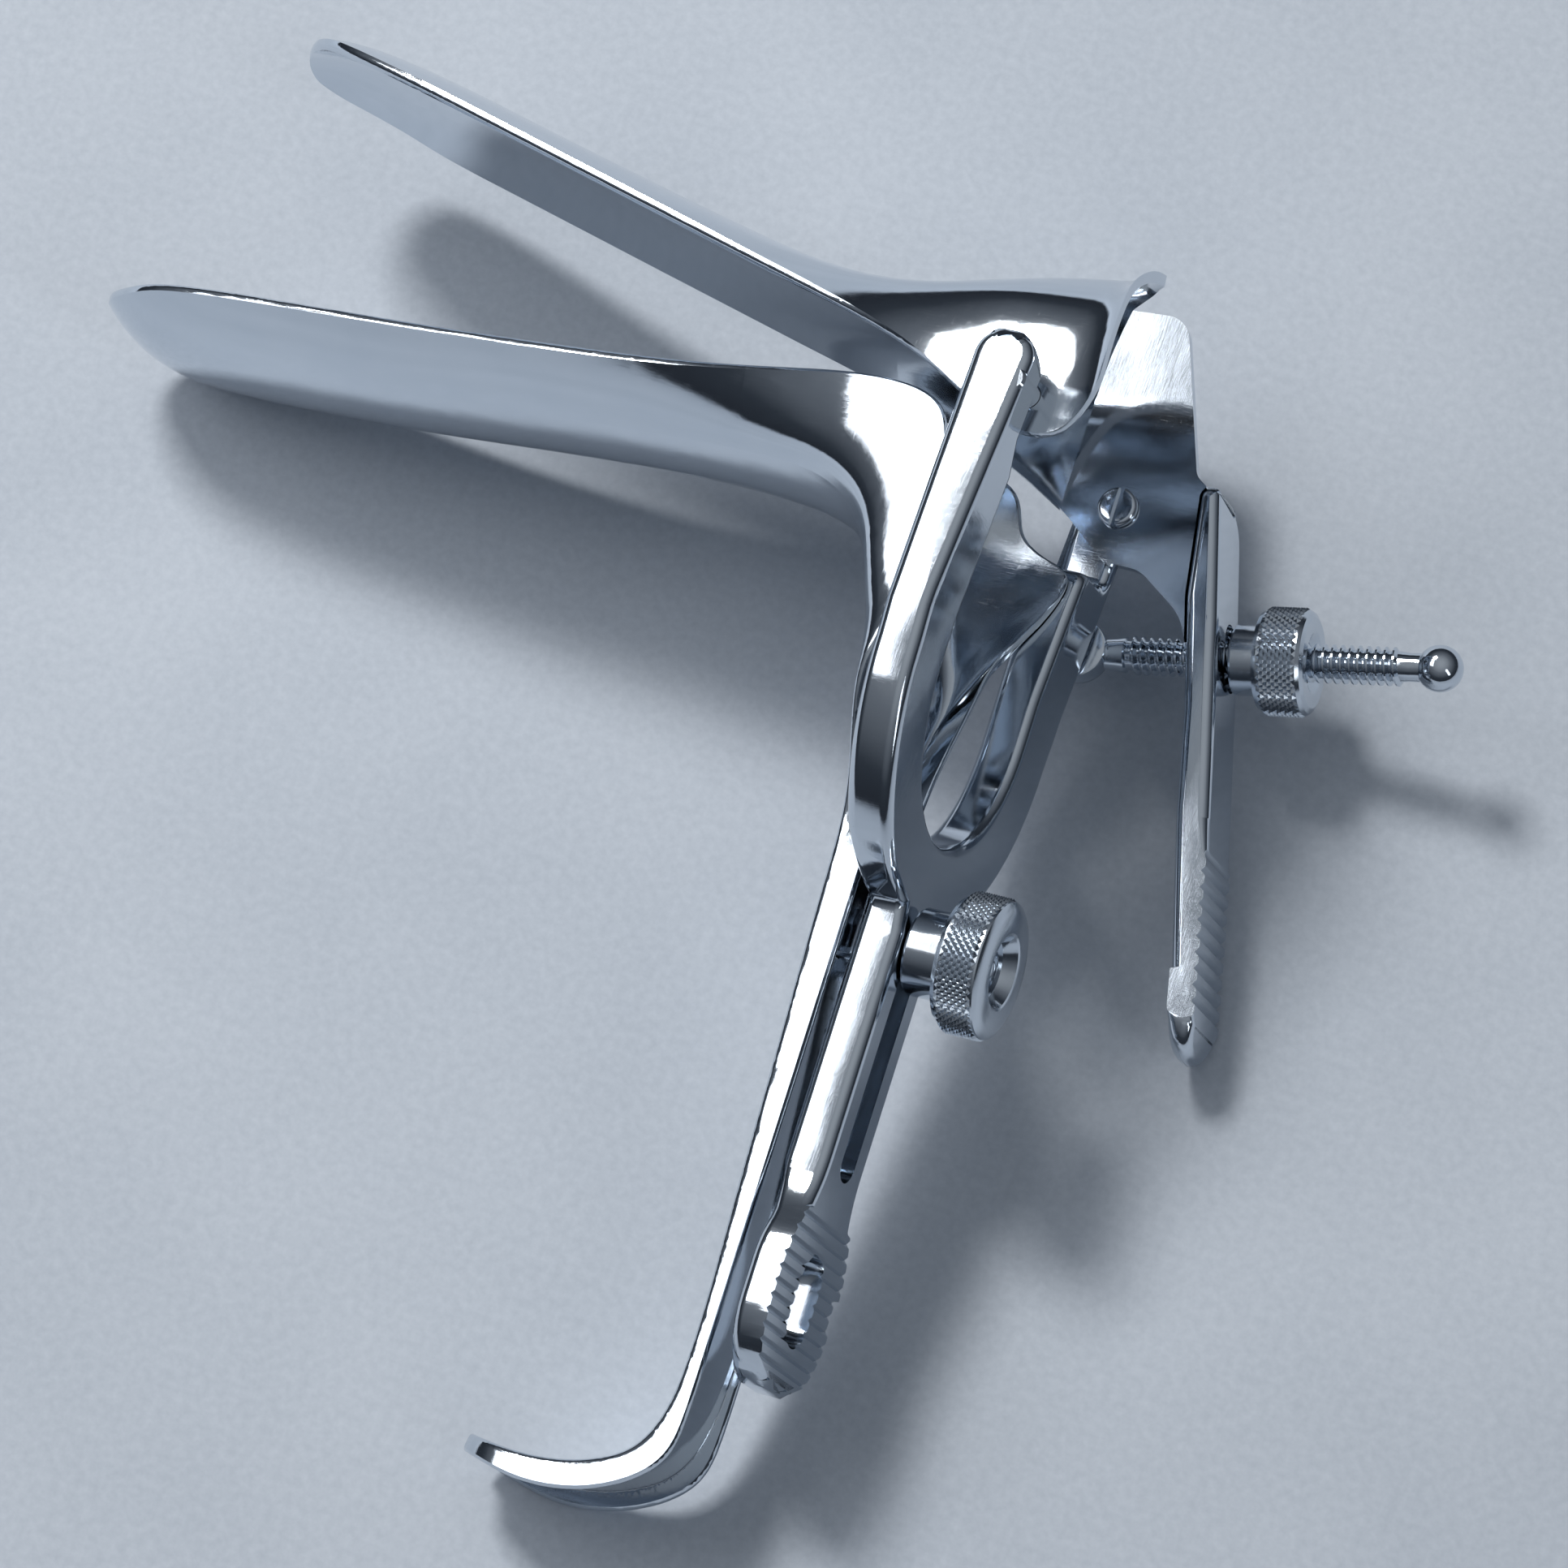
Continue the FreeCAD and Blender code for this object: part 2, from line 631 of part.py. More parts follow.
slot_side = size("slot_width") / 2
slot_corners = [
    (slot_side, size("slot_top"), slot_side * 0.99), (slot_side, size("slot_bottom"), slot_side * 0.99),
    (-slot_side, size("slot_bottom"), slot_side * 0.99), (-slot_side, size("slot_top"), slot_side * 0.99),
]
stem_slot = prism("stem_slot", rounded(slot_corners, in_front_view), Vector(1, 0, 0), "10", "10")
hole_half = size("paddle_hole_width") / 2
hole_reach = size("paddle_hole_length") / 2
hole_bend = hole_half * 0.99
hole_corners = [
    (hole_half, paddle_z + hole_reach, hole_bend), (hole_half, paddle_z - hole_reach, hole_bend),
    (-hole_half, paddle_z - hole_reach, hole_bend), (-hole_half, paddle_z + hole_reach, hole_bend),
]
paddle_hole = prism("paddle_hole", rounded(hole_corners, in_front_view), Vector(1, 0, 0), "10", "10")
RIBS = 11
ribs = []
for i in range(RIBS):
    z = size("rib_top") - i * size("rib_pitch")
    back = stem_back
    depth = size("rib_depth")
    half = size("rib_pitch") * 0.45
    corners = [Vector(back - 1, 0, z + half * 2), Vector(back - 1, 0, z - half * 2),
               Vector(back + depth, 0, z)]
    triangle = Part.makePolygon(corners + [corners[0]])
    groove = Part.Face(triangle).extrude(Vector(0, 2 * paddle_half, 0))
    groove.translate(Vector(0, -paddle_half, 0))
    ribs.append(groove)
rib_cutter = hidden("rib_cutter", Part.makeCompound(ribs))
yoke_slotted = cut("yoke_slotted", yoke_blank, stem_slot)
yoke_holed = cut("yoke_holed", yoke_slotted, paddle_hole)
yoke_ribbed = cut("yoke_ribbed", yoke_holed, rib_cutter)
yoke_hinge_holes = cylinder("yoke_hinge_holes", "pivot_diameter / 2", "60", ("hinge_x", "-30", "hinge_z"),
                            Vector(0, 1, 0))
yoke_drilled = cut("yoke_drilled", yoke_ribbed, yoke_hinge_holes)
eye_pin_hole = cylinder("eye_pin_hole", "eye_pin_diameter / 2", "8",
                        ("spindle_pivot_x", "-arm_outer - 3", "spindle_pivot_z"), Vector(0, 1, 0))
yoke_frame = cut("yoke_frame", yoke_drilled, eye_pin_hole)

# Pivot screws: each is fixed in its arm, its head on the inner face of the sheet
pivot = size("pivot_diameter") / 2
head = size("pivot_head") / 2
hinge = Vector(size("hinge_x"), 0, size("hinge_z"))


def pivot_screw(name, arm_face, sheet_face, side):
    """Screw with a flat slotted head, drawn from the arm's outer face to the head."""
    length = arm_face - sheet_face
    crown = length + size("pivot_head_height")
    chamfer = size("pivot_head_height") / 2
    turned_screw = turned(name + "_blank", [(0, 0), (0, pivot), (length, pivot), (length, head),
                                            (crown - chamfer, head), (crown, head - chamfer), (crown, 0)],
                          hinge + Vector(0, side * arm_face, 0), Vector(0, -side, 0))
    notch_width = size("pivot_notch_width")
    notch = hidden(name + "_notch", Part.makeBox(notch_width, chamfer * 2, 4 * head,
                                                 Vector(-notch_width / 2, -chamfer, -2 * head)))
    notch.Placement = Placement(hinge + Vector(0, side * (arm_face - crown), 0),
                                Rotation(Vector(0, 1, 0), 15))
    return cut(name, turned_screw, notch)


far_pivot_screw = pivot_screw("far_pivot_screw", size("far_screw_face"),
                              size("wing_inner_y") - size("side_gap"), -1)
near_pivot_screw = pivot_screw("near_pivot_screw", size("near_screw_face"), size("near_head_seat"), 1)

# Clamp: stud in the handle's web and knurled nut behind the stem
clamp_height = size("clamp_z")
stud_radius = size("stud_diameter") / 2
stud_length = size("stud_foot_x") - size("stud_end_x")
stud_round = turned("stud_round", [(0, 0), (0, stud_radius), (stud_length, stud_radius), (stud_length, 0)],
                    Vector(size("stud_foot_x"), 0, clamp_height), Vector(-1, 0, 0))
stud_square = box("stud_square", ("web_inner_x - stem_front_x - side_gap", "stud_shoulder", "stud_shoulder"),
                  ("stem_front_x + side_gap", "-stud_shoulder / 2", "clamp_z - stud_shoulder / 2"))
clamp_stud = fuse("clamp_stud", [stud_round, stud_square])


def knurled_nut(name, base, axis, bore, collar, head, recess):
    """Round nut with a collar and a chamfered head, bored through, with a countersunk end.
    Collar, head and recess are (radius, length)."""
    collar, collar_length = collar
    head_radius, head_length = head
    recess, recess_depth = recess
    chamfer = size("nut_chamfer")
    whole = collar_length + head_length
    profile = [(0, bore), (0, collar - 0.3), (0.3, collar), (collar_length, collar),
               (collar_length, head_radius - chamfer), (collar_length + chamfer, head_radius),
               (whole - chamfer, head_radius), (whole, head_radius - chamfer), (whole, recess),
               (whole - recess_depth, bore)]
    return turned(name, profile, base, axis)


clamp_nut = knurled_nut("clamp_nut", Vector(size("stem_back_x") - size("side_gap"), 0, clamp_height),
                        Vector(-1, 0, 0), stud_radius + size("running_gap"),
                        (size("collar_diameter") / 2, size("collar_length")),
                        (size("clamp_head_diameter") / 2, size("clamp_head_length")),
                        (size("recess_diameter") / 2, size("recess_depth")))

# Spindle: flat eye, screwed rod and olive end, on its own screw at the far arm
rise = math.radians(size("spindle_rise"))
along = Vector(-math.cos(rise), 0, math.sin(rise))
spindle_foot = Vector(size("spindle_pivot_x"), spindle_y, size("spindle_pivot_z"))
rod = size("spindle_diameter") / 2
length = size("spindle_length")
olive = size("olive_diameter") / 2
spindle_profile = [(3.0, 0), (3.0, rod * 0.8), (5.6, rod), (length - 4.5, rod), (length - 3.4, rod * 0.7)]
for turn in range(-50, 91, 20):
    angle = math.radians(turn)
    spindle_profile.append((length + olive * math.sin(angle), olive * math.cos(angle)))
spindle_profile[-1] = (length + olive, 0)
spindle_rod = turned("spindle_rod", spindle_profile, spindle_foot, along)
eye_face = -size("arm_outer") - size("side_gap")
spindle_eye = cylinder("spindle_eye", "eye_diameter / 2", "eye_thickness",
                       ("spindle_pivot_x", "-arm_outer - side_gap - eye_thickness", "spindle_pivot_z"),
                       Vector(0, 1, 0))
spindle_body = fuse("spindle_body", [spindle_rod, spindle_eye])
eye_bore = cylinder("eye_bore", "eye_pin_diameter / 2 + running_gap", "10",
                    ("spindle_pivot_x", "-arm_outer - 8", "spindle_pivot_z"), Vector(0, 1, 0))
spindle = cut("spindle", spindle_body, eye_bore)
eye_pin = size("eye_pin_diameter") / 2
spindle_screw = turned("spindle_screw",
                       [(0, 0), (0, eye_pin), (3.0 + size("side_gap") * 2 + size("eye_thickness"), eye_pin),
                        (3.0 + size("side_gap") * 2 + size("eye_thickness"), eye_pin + 1.1),
                        (4.0 + size("side_gap") * 2 + size("eye_thickness"), eye_pin + 0.7),
                        (4.0 + size("side_gap") * 2 + size("eye_thickness"), 0)],
                       Vector(size("spindle_pivot_x"), -size("arm_outer") + 3.0, size("spindle_pivot_z")),
                       Vector(0, -1, 0))
lever_nut = knurled_nut("lever_nut", spindle_foot + along * size("lever_nut_start"), along,
                        rod + size("running_gap"),
                        (size("lever_collar_diameter") / 2, size("lever_collar_length")),
                        (size("lever_head_diameter") / 2, size("lever_head_length")),
                        (rod + size("lever_nut_flare"), size("nut_chamfer")))

PIECES = {
    "posterior_blade": posterior_blade,
    "clamp_stud": clamp_stud,
    "clamp_nut": clamp_nut,
    "yoke_frame": yoke_frame,
    "far_pivot_screw": far_pivot_screw,
    "near_pivot_screw": near_pivot_screw,
    "anterior_blade": anterior_blade,
    "thumb_lever": thumb_lever,
    "spindle": spindle,
    "spindle_screw": spindle_screw,
    "lever_nut": lever_nut,
}

doc.recompute()
for item in doc.Objects:
    if "Invalid" in item.State or "Error" in item.State:
        raise RuntimeError("failed: %s %s" % (item.Name, item.State))

# Resting pose: the instrument lies on its far side, on the edge of the lower blade, the lever and the hook
blade_rest = Vector(101.8, -14.2, -9.8)
lever_rest = Vector(-25.5, -31.9, -55.8)
hook_rest = Vector(22.7, -6.5, -125.8)
up = (hook_rest - blade_rest).cross(lever_rest - blade_rest).normalize()
if up.y < 0:
    up = -up
ahead = Vector(1, 0, 0) - up * up.x
ahead.normalize()
turn_down = Rotation(ahead, up.cross(ahead), up, "ZXY").inverted()
laid = Placement(Vector(), turn_down)
room = FreeCAD.BoundBox()
for item in PIECES.values():
    room.add(item.Shape.transformed(laid.toMatrix(), True).optimalBoundingBox(False))
laid = Placement(Vector(-room.Center.x, -room.Center.y, -room.ZMin), turn_down)
print("laid", [list(laid.toMatrix().A)])

os.makedirs("parts", exist_ok=True)
for name, item in PIECES.items():
    item.Label = name
    item.Placement = laid.multiply(item.Placement)
doc.recompute()
for name, item in PIECES.items():
    shape = item.Shape
    if shape.isNull() or not shape.isValid():
        raise RuntimeError("bad shape: " + name)
    print(name, len(shape.Solids), round(shape.Volume, 1), shape.Placement)
for name, item in PIECES.items():
    item.Shape.exportStep("parts/%s.step" % name)
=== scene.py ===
import json
import math

import bpy
from mathutils import Matrix, Vector


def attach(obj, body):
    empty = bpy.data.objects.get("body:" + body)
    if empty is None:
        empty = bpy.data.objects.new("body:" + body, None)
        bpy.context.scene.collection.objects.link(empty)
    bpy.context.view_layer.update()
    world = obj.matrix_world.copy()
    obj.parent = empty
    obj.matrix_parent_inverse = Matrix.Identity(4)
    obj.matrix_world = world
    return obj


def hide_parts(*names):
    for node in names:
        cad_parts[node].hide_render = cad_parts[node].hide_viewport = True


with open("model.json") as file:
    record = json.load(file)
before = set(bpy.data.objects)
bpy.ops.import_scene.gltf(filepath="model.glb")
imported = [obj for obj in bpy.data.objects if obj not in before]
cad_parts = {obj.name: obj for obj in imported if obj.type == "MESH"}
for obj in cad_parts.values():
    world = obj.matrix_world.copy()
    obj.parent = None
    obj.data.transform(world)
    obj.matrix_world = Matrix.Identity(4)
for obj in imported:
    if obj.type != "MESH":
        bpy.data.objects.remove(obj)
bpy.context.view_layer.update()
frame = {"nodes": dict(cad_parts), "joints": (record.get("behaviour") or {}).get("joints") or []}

# Instrument frame
# x runs along the blades to their tips, y to the near arm and z up the handle, in millimetres.
# The hinge of the upper blade and the slide of the yoke say where that frame lies in the row's frame.

JOINTS = {joint["name"]: joint for joint in frame["joints"]}
HINGE_X = -2.5
HINGE_Z = -1.0
UP = Vector(JOINTS["yoke_slide"]["axis"]).normalized()
NEAR = -Vector(JOINTS["blade_hinge"]["axis"]).normalized()
AHEAD = NEAR.cross(UP).normalized()
MM = 0.001
ORIGIN = Vector(JOINTS["blade_hinge"]["pos_m"]) - (AHEAD * HINGE_X + UP * HINGE_Z) * MM


def instrument_matrix():
    """Matrix that takes a mesh modelled in the instrument frame, in millimetres, to its place."""
    columns = Matrix((AHEAD, NEAR, UP)).transposed().to_4x4()
    return Matrix.Translation(ORIGIN) @ columns @ Matrix.Scale(MM, 4)


# Mesh helpers

def deselect():
    bpy.ops.object.select_all(action="DESELECT")


def active(piece):
    deselect()
    piece.select_set(True)
    bpy.context.view_layer.objects.active = piece


def settle(piece, name):
    """Moves a piece modelled in the instrument frame to its place, its object staying at the origin."""
    piece.name = name
    piece.data.name = name
    active(piece)
    bpy.ops.object.transform_apply(location=True, rotation=True, scale=True)
    piece.data.transform(instrument_matrix())
    bpy.ops.object.mode_set(mode="EDIT")
    bpy.ops.mesh.select_all(action="SELECT")
    bpy.ops.mesh.remove_doubles(threshold=1e-7)
    bpy.ops.mesh.normals_make_consistent(inside=False)
    bpy.ops.object.mode_set(mode="OBJECT")
    return piece


# Drawing helpers

def outline_piece(name, points):
    """Closed outline drawn point by point, as an n-gon lying in the plane of its points."""
    mesh = bpy.data.meshes.new(name)
    mesh.from_pydata(points, [], [list(range(len(points)))])
    piece = bpy.data.objects.new(name, mesh)
    bpy.context.scene.collection.objects.link(piece)
    return piece


def prism(name, points, push):
    """Solid pushed out of an outline."""
    piece = outline_piece(name, points)
    active(piece)
    bpy.ops.object.mode_set(mode="EDIT")
    bpy.ops.mesh.select_all(action="SELECT")
    bpy.ops.mesh.extrude_region_move(TRANSFORM_OT_translate={"value": push})
    bpy.ops.mesh.select_all(action="SELECT")
    bpy.ops.mesh.normals_make_consistent(inside=False)
    bpy.ops.object.mode_set(mode="OBJECT")
    return piece


def combine(piece, tool, operation):
    """Boolean of two solids, the second one used up."""
    active(piece)
    modifier = piece.modifiers.new("combine", "BOOLEAN")
    modifier.operation = operation
    modifier.solver = "EXACT"
    modifier.object = tool
    bpy.ops.object.modifier_apply(modifier=modifier.name)
    bpy.data.objects.remove(tool)
    return piece


def soften(piece, width, segments, limit, spare=None):
    """Rounds the edges sharper than a limit in degrees, but not those whose middle is in the spared box."""
    active(piece)
    mesh = piece.data
    weights = mesh.attributes.new("bevel_weight_edge", "FLOAT", "EDGE")
    faces_at = {}
    for polygon in mesh.polygons:
        for key in polygon.edge_keys:
            faces_at.setdefault(key, []).append(polygon.normal)
    for edge in mesh.edges:
        normals = faces_at[edge.key]
        first, last = (mesh.vertices[index].co for index in edge.vertices)
        middle = (first + last) / 2
        spared = spare and all(low <= value <= high for value, (low, high) in zip(middle, spare))
        if len(normals) == 2 and normals[0].angle(normals[1], 0) > math.radians(limit) and not spared:
            weights.data[edge.index].value = 1.0
    modifier = piece.modifiers.new("soften", "BEVEL")
    modifier.width = width
    modifier.segments = segments
    modifier.limit_method = "WEIGHT"
    modifier.use_clamp_overlap = False
    bpy.ops.object.modifier_apply(modifier=modifier.name)
    return piece


def rounded(corners, steps=6):
    """Outline through corners (a, b, radius), each corner rounded by its radius."""
    points = []
    for index, (a, b, radius) in enumerate(corners):
        corner = Vector((a, b))
        if radius == 0:
            points.append(corner)
            continue
        before = (Vector(corners[index - 1][:2]) - corner).normalized()
        after = (Vector(corners[(index + 1) % len(corners)][:2]) - corner).normalized()
        half = before.angle(after) / 2
        centre = corner + (before + after).normalized() * (radius / math.sin(half))
        first = corner + before * (radius / math.tan(half)) - centre
        last = corner + after * (radius / math.tan(half)) - centre
        sweep = first.angle_signed(last)
        for step in range(steps + 1):
            turn = -sweep * step / steps
            arm = Vector((first.x * math.cos(turn) - first.y * math.sin(turn),
                          first.x * math.sin(turn) + first.y * math.cos(turn)))
            points.append(centre + arm)
    return points


def arc(centre, radius, start, end, steps):
    """Points of an arc, its angles in degrees, from the start to the end, both included."""
    points = []
    for step in range(steps + 1):
        turn = math.radians(start + (end - start) * step / steps)
        points.append(Vector((centre[0] + radius * math.cos(turn), centre[1] + radius * math.sin(turn))))
    return points


def from_front(points, x):
    return [(x, point[0], point[1]) for point in points]


def from_side(points, y):
    return [(point[0], y, point[1]) for point in points]


def lathe(name, profile, steps=96, rise=0.0, turns=1):
    """Body turned about its own z axis from a profile of (height, radius). A rise makes it a screw thread."""
    mesh = bpy.data.meshes.new(name)
    edges = [(k, k + 1) for k in range(len(profile) - 1)]
    mesh.from_pydata([(radius, 0, height) for height, radius in profile], edges, [])
    piece = bpy.data.objects.new(name, mesh)
    bpy.context.scene.collection.objects.link(piece)
    active(piece)
    modifier = piece.modifiers.new("turn", "SCREW")
    modifier.steps = steps
    modifier.render_steps = steps
    modifier.screw_offset = rise
    modifier.iterations = turns
    modifier.use_merge_vertices = True
    modifier.merge_threshold = 1e-4
    bpy.ops.object.modifier_apply(modifier=modifier.name)
    bpy.ops.object.mode_set(mode="EDIT")
    bpy.ops.mesh.select_all(action="SELECT")
    bpy.ops.mesh.remove_doubles(threshold=1e-4)
    bpy.ops.mesh.fill_holes(sides=0)
    bpy.ops.mesh.select_all(action="SELECT")
    bpy.ops.mesh.normals_make_consistent(inside=False)
    bpy.ops.object.mode_set(mode="OBJECT")
    return piece


def stand(piece, base, axis):
    """Puts a turned body's foot at a point and its z axis along a direction."""
    turn = Vector(axis).to_track_quat("Z", "Y").to_matrix().to_4x4()
    piece.matrix_world = Matrix.Translation(Vector(base)) @ turn
    bpy.context.view_layer.update()
    return piece


def join(pieces):
    deselect()
    for piece in pieces:
        piece.select_set(True)
    bpy.context.view_layer.objects.active = pieces[0]
    bpy.ops.object.join()
    return pieces[0]


def finished(piece, name, body, node, material, angle=35, weighted=True):
    """Puts a piece in its place with its finish, on its body and in its CAD node's stead."""
    settle(piece, name)
    piece.data.materials.clear()
    piece.data.materials.append(material)
    active(piece)
    bpy.ops.object.shade_smooth_by_angle(angle=math.radians(angle))
    if weighted:
        modifier = piece.modifiers.new("even", "WEIGHTED_NORMAL")
        modifier.keep_sharp = True
        modifier.weight = 60
        bpy.ops.object.modifier_apply(modifier=modifier.name)
    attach(piece, body)
    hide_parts(node)
    return piece


# Shader helpers

class Value:
    """A shader socket that can be used in sums."""

    def __init__(self, tree, socket):
        self.tree = tree
        self.socket = socket

    def _math(self, operation, first, second):
        node = self.tree.nodes.new("ShaderNodeMath")
        node.operation = operation
        for slot, item in enumerate((first, second)):
            if isinstance(item, Value):
                self.tree.links.new(item.socket, node.inputs[slot])
            else:
                node.inputs[slot].default_value = item
        return Value(self.tree, node.outputs[0])

    def __add__(self, other):
        return self._math("ADD", self, other)

    __radd__ = __add__

    def __sub__(self, other):
        return self._math("SUBTRACT", self, other)

    def __rsub__(self, other):
        return self._math("SUBTRACT", other, self)

    def __mul__(self, other):
        return self._math("MULTIPLY", self, other)

    __rmul__ = __mul__

    def above(self, other):
        return self._math("GREATER_THAN", self, other)


def fill_ramp(ramp, stops):
    """Sets a colour ramp's stops, given as (position, colour)."""
    for position, _colour in stops[2:]:
        ramp.elements.new(position)
    for element, (position, colour) in zip(ramp.elements, stops):
        element.position = position
        element.color = (*colour, 1)


class Finish:
    """A material with one shader, and one way to add any other node."""

    def __init__(self, name):
        self.material = bpy.data.materials.new(name)
        self.material.use_nodes = True
        self.tree = self.material.node_tree
        self.shader = self.tree.nodes["Principled BSDF"]

    def node(self, kind, settings=None, stops=None, **inputs):
        node = self.tree.nodes.new(kind)
        for name, value in (settings or {}).items():
            setattr(node, name, value)
        if stops:
            fill_ramp(node.color_ramp, stops)
        for name, value in inputs.items():
            socket = node.inputs[name.replace("_", " ")]
            self.feed(socket, value)
        return node

    def feed(self, socket, value):
        if isinstance(value, Value):
            self.tree.links.new(value.socket, socket)
        elif isinstance(value, bpy.types.NodeSocket):
            self.tree.links.new(value, socket)
        else:
            socket.default_value = value

    def position(self, scale):
        """Object coordinates times a scale for each axis."""
        coordinates = self.node("ShaderNodeTexCoord").outputs["Object"]
        return self.node("ShaderNodeMapping", Vector=coordinates, Scale=scale).outputs["Vector"]

    def noise(self, scale, size, detail=3.0, roughness=0.5):
        place = self.position(scale)
        node = self.node("ShaderNodeTexNoise", Vector=place, Scale=size, Detail=detail, Roughness=roughness)
        return Value(self.tree, node.outputs["Fac"])


# Steel finishes

STEEL_COLOUR = (0.68, 0.73, 0.79, 1)
KNURL_COLOUR = (0.66, 0.71, 0.77, 1)
SMEAR_TINT = (0.9, 0.92, 0.94)
HAIR_LEVEL = 0.62
CROSS_HAIR_LEVEL = 0.64
MARK_ROUGHNESS = 0.05
SMEAR_ROUGHNESS = 0.06
SMEAR_HEIGHT = 0.12


def steel(name, colour, roughness, wobble, scratch):
    """Chromed steel: a hand-polished surface with a slight wobble, wiping marks and fine scratches."""
    finish = Finish(name)
    shader = finish.shader
    shader.inputs["Metallic"].default_value = 1.0
    broad = finish.noise((1, 1, 1), 55, 2)
    smear = finish.noise((1, 1, 1), 160, 4, 0.6)
    hair = finish.noise((1, 14, 1), 420, 5, 0.7)
    cross_hair = finish.noise((16, 1, 3), 380, 5, 0.7)
    mix = finish.node("ShaderNodeMix", {"data_type": "RGBA"})
    finish.feed(mix.inputs[0], smear)
    finish.feed(mix.inputs[6], colour)
    finish.feed(mix.inputs[7], (*(part * tint for part, tint in zip(colour, SMEAR_TINT)), 1))
    finish.feed(shader.inputs["Base Color"], mix.outputs[2])
    marks = (hair - HAIR_LEVEL).above(0) * MARK_ROUGHNESS
    marks = marks + (cross_hair - CROSS_HAIR_LEVEL).above(0) * MARK_ROUGHNESS
    finish.feed(shader.inputs["Roughness"], roughness + smear * SMEAR_ROUGHNESS + marks)
    height = broad * wobble + smear * wobble * SMEAR_HEIGHT + hair * scratch + cross_hair * scratch
    bump = finish.node("ShaderNodeBump", Height=height, Strength=1.0, Distance=0.001)
    finish.feed(shader.inputs["Normal"], bump.outputs["Normal"])
    return finish.material


polished = steel("polished_steel", STEEL_COLOUR, 0.05, 0.16, 0.003)
knurled = steel("knurled_steel", KNURL_COLOUR, 0.1, 0.0, 0.004)

for node in frame["nodes"].values():
    for slot in range(len(node.data.materials)):
        node.data.materials[slot] = polished


# Knurled nuts

def knurled_nut(name, profile, band, teeth, rows, height, body, node, base, axis, end_line):
    """Turned nut whose head carries a diamond knurl: every second corner of a fine net is raised."""
    start, end, radius = band
    rings = [(start + (end - start) * row / rows, radius) for row in range(rows + 1)]
    line = profile + rings + end_line
    nut = lathe(name, line, steps=teeth * 2)
    step = (end - start) / rows
    for vertex in nut.data.vertices:
        row = (vertex.co.z - start) / step
        reach = math.hypot(vertex.co.x, vertex.co.y)
        if abs(reach - radius) > 0.02 or row < 0.5 or row > rows - 0.5:
            continue
        column = round(math.atan2(vertex.co.y, vertex.co.x) / math.pi * teeth)
        if (round(row) + column) % 2 == 0:
            vertex.co.x *= (radius + height) / radius
            vertex.co.y *= (radius + height) / radius
    active(nut)
    bpy.ops.object.mode_set(mode="EDIT")
    bpy.ops.mesh.select_all(action="SELECT")
    bpy.ops.mesh.quads_convert_to_tris(quad_method="SHORTEST_DIAGONAL")
    bpy.ops.object.mode_set(mode="OBJECT")
    stand(nut, base, axis)
    return finished(nut, name, body, node, knurled, angle=24, weighted=False)


def collar_line(bore, collar, length, head, chamfer):
    return [(0, bore), (0, collar - 0.35), (0.1, collar - 0.12), (0.35, collar),
            (length - 0.35, collar), (length - 0.1, collar + 0.15),
            (length, collar + 0.45), (length, head - chamfer)]


# Yoke: arms, bow, slotted stem and ribbed finger paddle, softly rounded all along its edges

ARM_TOP = 4.5
ARM_OUTER = 25.4
ARM_INNER = 15.7
BOW_Z = -31.8
BOW_RADIUS = 25.0
STEM = 6.0
PADDLE = 10.0
PADDLE_LOW = -110.0
STEM_BACK = -3.3
STEM_FRONT = 1.9
PADDLE_FRONT = 0.6
ARM_FRONT = 2.9
RIBS = 11
RIB_TOP = -91.2
RIB_PITCH = 1.6
RIB_HALF = 0.4
RIB_DEPTH = 0.35
DEEP = 12.0


